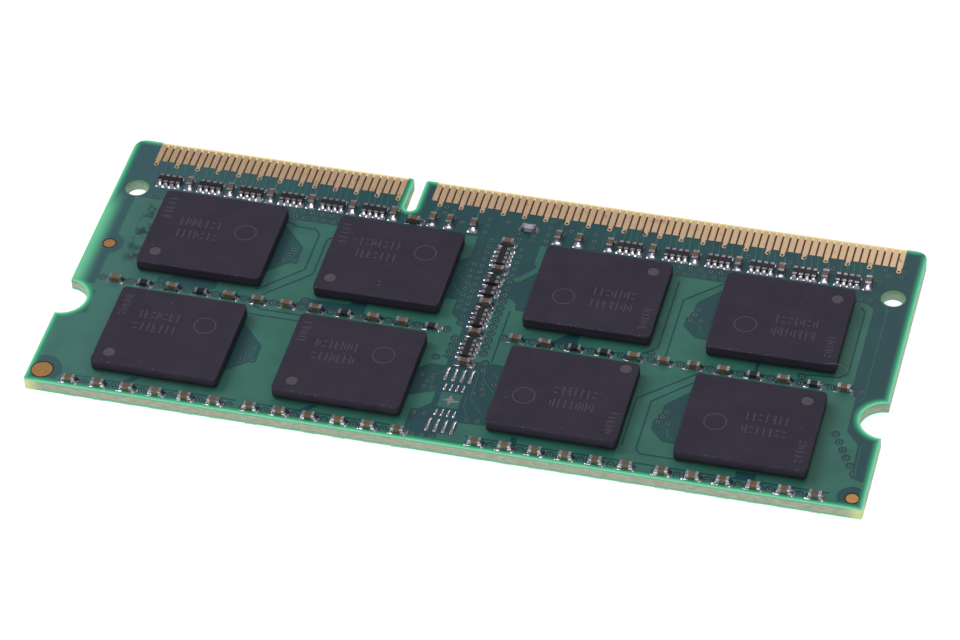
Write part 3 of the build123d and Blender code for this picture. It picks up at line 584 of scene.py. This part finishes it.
def mask_relief(node_name, side, material, height):
    """The mask standing proud over a layer of copper, shaped by the copper itself."""
    mesh = NODES[node_name].data.copy()
    low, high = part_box(node_name)
    middle = (low[2] + high[2]) / 2
    surface = face_height(side)
    outwards = out_of(side)
    for vertex in mesh.vertices:
        outer = (vertex.co.z - middle) * outwards > 0
        vertex.co.z = surface + outwards * (height if outer else -RELIEF_ROOT)
    new_piece("mask_over_" + node_name, mesh, material)


def build_vias(side):
    """A raised ring and a dark hole at every via land, and at the ends of the contact tails; each hole is
    a flat disc of painted shade.
    """
    rings = bmesh.new()
    holes = bmesh.new()
    outwards = out_of(side)
    surface = face_height(side)
    lift = outwards * DISC_LIFT
    for group in ("short", "long"):
        for low, high in islands(f"edge_contacts_{side}_{group}_group"):
            if low.y < TAIL_Y:
                centre = ((low.x + high.x) / 2, low.y + TAIL_PAD_RADIUS)
                add_disc(holes, centre, TAIL_HOLE_RADIUS, surface - lift, outwards, HOLE_SEGMENTS)
    for low, high in islands("via_lands_" + side):
        centre = (low + high) / 2
        add_ring(
            rings, centre, surface, outwards,
            VIA_HOLE_RADIUS, VIA_RING_RADIUS, VIA_RING_HEIGHT, VIA_SEGMENTS,
        )
        add_disc(holes, centre, VIA_HOLE_RADIUS, surface + lift, outwards, HOLE_SEGMENTS)
    new_piece("via_rings_" + side, finish_mesh(rings, "via_rings", True), VIA_RIM)
    new_piece("via_holes_" + side, finish_mesh(holes, "via_holes"), VIA_HOLE_SHADE)


def build_pad_gaps(side):
    """The dark gap round each bare gold pad."""
    mesh = bmesh.new()
    for low, high in islands("gold_pads_" + side):
        radius = (high.x - low.x) / 2
        add_ring(
            mesh, (low + high) / 2, face_height(side), out_of(side),
            radius, radius + PAD_GAP_WIDTH, PAD_GAP_HEIGHT, LARGE_RING_SEGMENTS,
        )
    new_piece("pad_gaps_" + side, finish_mesh(mesh, "pad_gaps", True), PAD_GAP)


# ---- Solder ----
DOME_STEPS = 8
DOME_HEIGHT = 0.07 * MM
DOME_ROOT = 0.002 * MM
LONG_PAD_RATIO = 1.4        # a pad this much longer than wide gets a dome


def build_pad_domes():
    """Tin standing proud on the long pads of the unpopulated footprint."""
    mesh = bmesh.new()
    for low, high in islands("spare_footprint_pads"):
        size = high - low
        if max(size.x, size.y) < LONG_PAD_RATIO * min(size.x, size.y):
            continue
        rows = []
        for step_y in range(DOME_STEPS + 1):
            row = []
            across_y = 2 * step_y / DOME_STEPS - 1
            for step_x in range(DOME_STEPS + 1):
                across_x = 2 * step_x / DOME_STEPS - 1
                rise = DOME_HEIGHT * math.sqrt((1 - across_x ** 2) * (1 - across_y ** 4))
                row.append(mesh.verts.new((
                    (low.x + high.x + across_x * size.x) / 2,
                    (low.y + high.y + across_y * size.y) / 2,
                    high.z - DOME_ROOT + rise,
                )))
            rows.append(row)
        for first, second in zip(rows, rows[1:]):
            for step in range(DOME_STEPS):
                mesh.faces.new((first[step], first[step + 1], second[step + 1], second[step]))
    new_piece("pad_domes", finish_mesh(mesh, "pad_domes", True), SOLDER)


def terminal_ends(terminals_name, blocks_name):
    """Each terminal's box, with the axis and sign of its direction away from its block."""
    slack = 1e-6
    blocks = islands(blocks_name)
    found = []
    for low, high in islands(terminals_name):
        centre = (low + high) / 2
        nearest = min(blocks, key=lambda block: ((block[0] + block[1]) / 2 - centre).length)
        for axis in (0, 1):
            if high[axis] > nearest[1][axis] + slack and low[axis] > nearest[0][axis] + slack:
                found.append((low, high, axis, 1))
            if low[axis] < nearest[0][axis] - slack and high[axis] < nearest[1][axis] - slack:
                found.append((low, high, axis, -1))
    return found


END_RUN = 0.34 * MM         # how far the solder runs out from a terminal's end
SIDE_RUN = 0.15 * MM        # and from its sides
END_SWELL = 1.06            # the middle of an end's solder runs out further by this factor
JOINT_TUCK = 0.01 * MM      # how far the solder's top reaches into the terminal
JOINT_STEPS = 5
JOINT_HOLLOW = 1.45
CORNER_STEPS = 4


def foot_path(half_width, band, end_run, side_run):
    """Points round a terminal's foot, the way out at each, and how far the solder runs out there.

    The foot's end is at 0 and the band reaches back to -band; the solder goes round both corners.
    """
    path = []
    for side in (-1, 1):
        flank = [
            ((-band * 0.9, side * half_width), (0, side), side_run * 0.5),
            ((-band * 0.45, side * half_width), (0, side), side_run),
        ]
        for step in range(CORNER_STEPS + 1):
            turn = step / CORNER_STEPS * math.pi / 2
            run = side_run + (end_run - side_run) * math.sin(turn) ** 2
            flank.append(((0, side * half_width), (math.sin(turn), side * math.cos(turn)), run))
        if side < 0:
            path += flank + [((0, 0), (1, 0), end_run * END_SWELL)]
        else:
            path += flank[::-1]
    return path


def add_joint(mesh, low, high, axis, sign, outwards, rng):
    """One soldered foot: a hollow-cheeked slope from the land up to the terminal."""
    other = 1 - axis
    end = high[axis] if sign > 0 else low[axis]
    middle = (low[other] + high[other]) / 2
    half_width = (high[other] - low[other]) / 2
    band = high[axis] - low[axis]
    foot = low.z if outwards > 0 else high.z
    height = (high.z - low.z) * rng.uniform(0.65, 0.9)
    end_run = END_RUN * rng.uniform(0.85, 1.1)
    side_run = SIDE_RUN * rng.uniform(0.6, 1.2)
    rows = []
    for (along, across), (out_along, out_across), run in foot_path(half_width, band, end_run, side_run):
        rise = height * (0.35 + 0.65 * run / (end_run * END_SWELL))
        row = []
        for step in range(JOINT_STEPS + 1):
            share = step / JOINT_STEPS
            reach = run * (1 - share) - JOINT_TUCK * share
            lift = rise * share ** JOINT_HOLLOW
            place = [0.0, 0.0, foot + outwards * lift]
            place[axis] = end + sign * (along + out_along * reach)
            place[other] = middle + across + out_across * reach
            row.append(mesh.verts.new(place))
        rows.append(row)
    flip = (sign > 0) == (axis == 0)
    for first, second in zip(rows, rows[1:]):
        for step in range(JOINT_STEPS):
            corners = [first[step], second[step], second[step + 1], first[step + 1]]
            add_face(mesh, corners, flip == (outwards > 0))


def build_solder_joints(side):
    """Solder at every chip terminal on one face."""
    rng = random.Random(11)
    mesh = bmesh.new()
    for kind in ("capacitor", "resistor"):
        for low, high, axis, sign in terminal_ends(f"{kind}_terminals_{side}", f"{kind}_blocks_{side}"):
            add_joint(mesh, low, high, axis, sign, out_of(side), rng)
    data = finish_mesh(mesh, "solder_joints", True)
    new_piece("solder_joints_" + side, data, SOLDER, ["solder_fillets_" + side])


# ---- Marks on the packages ----
# A value without MM is in millimetres, and a place is measured from a package's middle.
PACKAGES = range(1, 9)
MARK_HEIGHT = 0.004 * MM
CODE_PLACE = (-1.3, 1.4)
CODE_STROKES = 7
CODE_TALL = 0.95
CODE_ROW_GAP = 1.45
LOT_PLACE = (-4.4, 2.45)
LOT_STROKES = 5
LOT_TALL = 0.7
STROKE_PITCH = 0.52
STROKE_WIDTH = 0.12
RING_FROM_CODE = (3.9, -0.3)
RING_RADII = (0.83, 0.93)
PIN_RECESS_DEPTH = 0.02 * MM
PIN_RECESS_SLACK = 0.005 * MM
PIN_MARK_RADIUS = 0.47 * MM
PIN_MARK_SEGMENTS = 28
# how far each package's marks sit from the usual place
MARK_SHIFTS = (
    (0.0, -0.4), (0.05, 0.35), (-0.05, 0.1), (0.05, 0.2),
    (0.0, 0.25), (-0.1, 0.0), (0.35, -0.15), (0.1, -0.5),
)


class PackageFace:
    """Draws thin marks on one package's top, in millimetres from its middle."""

    def __init__(self, mesh, cap_name, side):
        low, high = (Vector(corner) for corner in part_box(cap_name))
        self.mesh = mesh
        self.outwards = out_of(side)
        self.z = high.z if self.outwards > 0 else low.z
        self.centre = (low + high) / 2
        self.turn = 1 if self.centre.x < 0 else -1

    def place(self, x, y):
        """A place on the face, in metres, turned half round on the board's right half."""
        return (self.centre.x + self.turn * x * MM, self.centre.y + self.turn * y * MM)

    def bar(self, x, y, width, height):
        """A filled bar, given by its middle and size."""
        middle = Matrix.Translation((*self.place(x, y), self.z + self.outwards * MARK_HEIGHT / 2))
        size = Matrix.Diagonal((width * MM, height * MM, MARK_HEIGHT, 1.0))
        bmesh.ops.create_cube(self.mesh, size=1.0, matrix=middle @ size)

    def ring(self, x, y, inner, outer):
        """A thin ring, given by its middle and radii."""
        add_ring(
            self.mesh, self.place(x, y), self.z, self.outwards,
            inner * MM, outer * MM, MARK_HEIGHT, LARGE_RING_SEGMENTS,
        )


def pin_recess(cap_name, face):
    """The middle of a package's pin-one recess, and the height of its floor."""
    places = [vertex.co for vertex in NODES[cap_name].data.vertices]
    floor_z = face.z - face.outwards * PIN_RECESS_DEPTH
    rim = [place for place in places if abs(place.z - floor_z) < PIN_RECESS_SLACK]
    middle = []
    for axis in (0, 1):
        along = [place[axis] for place in rim]
        middle.append((min(along) + max(along)) / 2)
    return middle, rim[0].z


def stroke_bars(kind, tall):
    """The bars of one stroke as (along, up, width, height)."""
    narrow = STROKE_PITCH * 0.3
    wide = STROKE_PITCH * 0.6
    return {
        "post": ((0, 0, STROKE_WIDTH, tall),),
        "two": ((-0.13, 0, STROKE_WIDTH, tall), (0.13, 0, STROKE_WIDTH, tall * 0.55)),
        "dash": ((0, tall * 0.3, wide, STROKE_WIDTH), (0, -tall * 0.3, wide, STROKE_WIDTH)),
        "comb": (
            (-0.12, 0, STROKE_WIDTH, tall),
            (0.06, 0, narrow, STROKE_WIDTH),
            (0.06, -tall * 0.4, narrow, STROKE_WIDTH),
        ),
    }[kind]


def draw_strokes(face, x, y, count, tall, rng, upright=False):
    """A row of plain strokes, of a few kinds, that stands in for a printed code."""
    for index in range(count):
        along = (index - (count - 1) / 2) * STROKE_PITCH
        kind = rng.choice(("post", "post", "two", "dash", "comb"))
        for run, rise, width, height in stroke_bars(kind, tall):
            if upright:
                face.bar(x - rise, y + along + run, height, width)
            else:
                face.bar(x + along + run, y + rise, width, height)


def build_package_marks(side):
    """Faint laser marks: two rows of strokes, an upright row and a plain ring on every package."""
    rng = random.Random(5)
    marks = bmesh.new()
    pin_marks = bmesh.new()
    for index, (shift_x, shift_y) in zip(PACKAGES, MARK_SHIFTS):
        cap_name = f"memory_cap_{side}_{index}"
        face = PackageFace(marks, cap_name, side)
        x = CODE_PLACE[0] + shift_x
        y = CODE_PLACE[1] + shift_y
        draw_strokes(face, x, y, CODE_STROKES, CODE_TALL, rng)
        draw_strokes(face, x, y - CODE_ROW_GAP, CODE_STROKES, CODE_TALL, rng)
        draw_strokes(face, *LOT_PLACE, LOT_STROKES, LOT_TALL, rng, upright=True)
        face.ring(x + RING_FROM_CODE[0], y + RING_FROM_CODE[1], *RING_RADII)
        centre, floor_z = pin_recess(cap_name, face)
        mark_z = floor_z + face.outwards * DISC_LIFT
        add_disc(pin_marks, centre, PIN_MARK_RADIUS, mark_z, face.outwards, PIN_MARK_SEGMENTS)
    new_piece("package_marks_" + side, finish_mesh(marks, "package_marks"), MARKING)
    new_piece("pin_one_marks_" + side, finish_mesh(pin_marks, "pin_one_marks"), PIN_MARK)


# ---- Wear and dust ----
FLAKE_HEIGHT = 0.006 * MM
FLAKES_ON_TOP = 16
TOP_MARGIN = 0.2 * MM
EDGE_MARGIN = 0.1 * MM
THREAD_SIDES = 5
FIBRE_RADIUS = 0.016
SCRATCH_RADIUS = 0.022
# X and Y on the board and the height over the packages' tops, in millimetres
FIBRE = (
    (28.2, -0.85, 0.015), (28.7, -0.7, 0.04), (29.25, -0.64, -0.02),
    (29.7, -0.6, -0.27), (30.05, -0.6, -0.62), (30.4, -0.62, -1.12),
)
SCRATCHES = (
    ((-8.85, 0.4, 0.0), (-8.7, 0.5, 0.005), (-8.52, 0.62, 0.0)),
    ((-8.82, 1.1, 0.0), (-8.7, 1.0, 0.005), (-8.6, 0.85, 0.0)),
    ((-10.6, -0.12, 0.0), (-10.56, -0.04, 0.01), (-10.5, 0.04, 0.0)),
)


def add_flake(mesh, x, y, z, outwards, size_mm, rng):
    """A tiny irregular chip of pale dust."""
    sides = rng.randint(5, 7)
    rim = []
    for step in range(sides):
        angle = 2 * math.pi * step / sides
        reach = size_mm * MM * rng.uniform(0.35, 1.0)
        rim.append(mesh.verts.new((x + reach * math.cos(angle), y + reach * math.sin(angle), z)))
    peak = mesh.verts.new((x, y, z + outwards * FLAKE_HEIGHT))
    for step in range(sides):
        add_face(mesh, [rim[step], rim[(step + 1) % sides], peak], outwards > 0)


def build_specks(side):
    """Pale specks scattered on the packages, more of them along the edges nearest the user."""
    rng = random.Random(31)
    mesh = bmesh.new()
    outwards = out_of(side)
    for index in PACKAGES:
        low, high = (Vector(corner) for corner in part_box(f"memory_cap_{side}_{index}"))
        top = high.z if outwards > 0 else low.z
        for _ in range(FLAKES_ON_TOP):
            x = rng.uniform(low.x + TOP_MARGIN, high.x - TOP_MARGIN)
            y = rng.uniform(low.y + TOP_MARGIN, high.y - TOP_MARGIN)
            add_flake(mesh, x, y, top, outwards, rng.uniform(0.02, 0.05), rng)
        for _ in range(rng.randint(3, 12)):
            x = rng.uniform(low.x + EDGE_MARGIN, high.x - EDGE_MARGIN)
            y = low.y + rng.uniform(0.05, 0.12) * MM
            add_flake(mesh, x, y, top, outwards, rng.uniform(0.03, 0.07), rng)
    new_piece("dust_specks_" + side, finish_mesh(mesh, "dust_specks"), WEAR)


def add_thread(mesh, points, radius_mm):
    """Adds a thin thread through points that follow each other along X."""
    rings = []
    for x, y, lift in points:
        ring = []
        for step in range(THREAD_SIDES):
            angle = 2 * math.pi * step / THREAD_SIDES
            ring.append(mesh.verts.new((
                x * MM,
                (y + radius_mm * math.cos(angle)) * MM,
                CAP_TOP + (lift + radius_mm * math.sin(angle)) * MM,
            )))
        rings.append(ring)
    for first, second in zip(rings, rings[1:]):
        for step in range(THREAD_SIDES):
            follow = (step + 1) % THREAD_SIDES
            mesh.faces.new((first[step], first[follow], second[follow], second[step]))


def build_wear():
    """A dust fibre that hangs off one package, and pale scratches on another."""
    mesh = bmesh.new()
    add_thread(mesh, FIBRE, FIBRE_RADIUS)
    for scratch in SCRATCHES:
        add_thread(mesh, scratch, SCRATCH_RADIUS)
    data = finish_mesh(mesh, "fibre_and_scratches", True)
    new_piece("fibre_and_scratches", data, WEAR)


# ---- Stage, light and camera ----
WHITE = (1.0, 1.0, 1.0, 1.0)
FLOOR_HALF_SIZE = 1.5
FLOOR_GAP = 0.02 * MM       # keeps the floor off the faces that lie on it
FLOOR_GLOW = 0.8
SKY_FROM = (0.1, 0.75)      # how far up a direction points, from 0 to 1
SKY_STRENGTH = (0.1, 0.29)
# name, place in metres, size in metres and power in watts
SOFTBOXES = (
    ("key_softbox", (-0.45, 0.1, 0.55), 0.3, 1.35),
    ("back_softbox", (0.1, 0.55, 0.4), 0.25, 0.42),
    ("front_softbox", (0.0, -0.42, 0.4), 0.3, 0.55),
)
TARGET = Vector((0.03 * MM, -0.57 * MM, MASK_TOP))
CAMERA_DISTANCE = 345.8 * MM
CAMERA_AZIMUTH = math.radians(15.925)
CAMERA_ELEVATION = math.radians(42.976)
CAMERA_ROLL = math.radians(-2.444)
CAMERA_LENS = 161.46
SENSOR_WIDTH = 36.0


def aimed(place):
    """The rotation that looks from a place at the target."""
    return (TARGET - place).to_track_quat("-Z", "Y")


def add_floor():
    """A plain pale floor."""
    mesh = bmesh.new()
    bmesh.ops.create_grid(mesh, x_segments=2, y_segments=2, size=FLOOR_HALF_SIZE)
    floor = bpy.data.objects.new("floor", finish_mesh(mesh, "floor"))
    floor.location.z = -FLOOR_GAP
    bpy.context.scene.collection.objects.link(floor)
    shade = Shade("floor")
    haze = shade.noise(0.02, detail=2)
    shade.set(Base_Color=shade.mix(haze, (0.96, 0.96, 0.96, 1.0), WHITE), Roughness=0.9)
    shade.set(Emission_Color=WHITE, Emission_Strength=FLOOR_GLOW)
    floor.data.materials.append(shade.material)


def add_sky():
    """Soft white light all round, stronger from above."""
    world = bpy.data.worlds.new("studio")
    world.use_nodes = True
    tree = world.node_tree
    direction = tree.nodes.new("ShaderNodeTexCoord")
    split = tree.nodes.new("ShaderNodeSeparateXYZ")
    tree.links.new(direction.outputs["Generated"], split.inputs[0])
    ramp = tree.nodes.new("ShaderNodeMapRange")
    ramp.interpolation_type = "SMOOTHSTEP"
    tree.links.new(split.outputs["Z"], ramp.inputs["Value"])
    for name, item in zip(("From Min", "From Max", "To Min", "To Max"), SKY_FROM + SKY_STRENGTH):
        ramp.inputs[name].default_value = item
    tree.links.new(ramp.outputs[0], tree.nodes["Background"].inputs["Strength"])
    tree.nodes["Background"].inputs["Color"].default_value = WHITE
    bpy.context.scene.world = world


def add_softboxes():
    """Three soft lamps that face the object."""
    for name, place, size, power in SOFTBOXES:
        lamp = bpy.data.lights.new(name, "AREA")
        lamp.size = size
        lamp.energy = power
        softbox = bpy.data.objects.new(name, lamp)
        softbox.location = place
        softbox.rotation_euler = aimed(Vector(place)).to_euler()
        bpy.context.scene.collection.objects.link(softbox)


def add_camera():
    """The camera, turned a little about its line of sight."""
    camera = bpy.data.objects.new("camera", bpy.data.cameras.new("camera"))
    camera.data.lens = CAMERA_LENS
    camera.data.sensor_width = SENSOR_WIDTH
    camera.data.clip_start = 0.01
    camera.data.clip_end = 10.0
    reach = CAMERA_DISTANCE * math.cos(CAMERA_ELEVATION)
    camera.location = TARGET + Vector((
        reach * math.sin(CAMERA_AZIMUTH),
        -reach * math.cos(CAMERA_AZIMUTH),
        CAMERA_DISTANCE * math.sin(CAMERA_ELEVATION),
    ))
    level = aimed(camera.location).to_matrix().to_4x4()
    camera.rotation_euler = (level @ Matrix.Rotation(CAMERA_ROLL, 4, "Z")).to_euler()
    bpy.context.scene.collection.objects.link(camera)
    bpy.context.scene.camera = camera


add_floor()
add_sky()
add_softboxes()
add_camera()
bpy.context.scene.view_settings.view_transform = "Standard"

dress_cad_nodes()
for side in SIDES:
    mask_relief("copper_pours_" + side, side, MASK_OVER_COPPER, COPPER_RELIEF)
    mask_relief("signal_traces_" + side, side, MASK_OVER_TRACE, TRACE_RELIEF)
    build_vias(side)
    build_pad_gaps(side)
    build_solder_joints(side)
    build_package_marks(side)
    build_specks(side)
build_pad_domes()
build_wear()
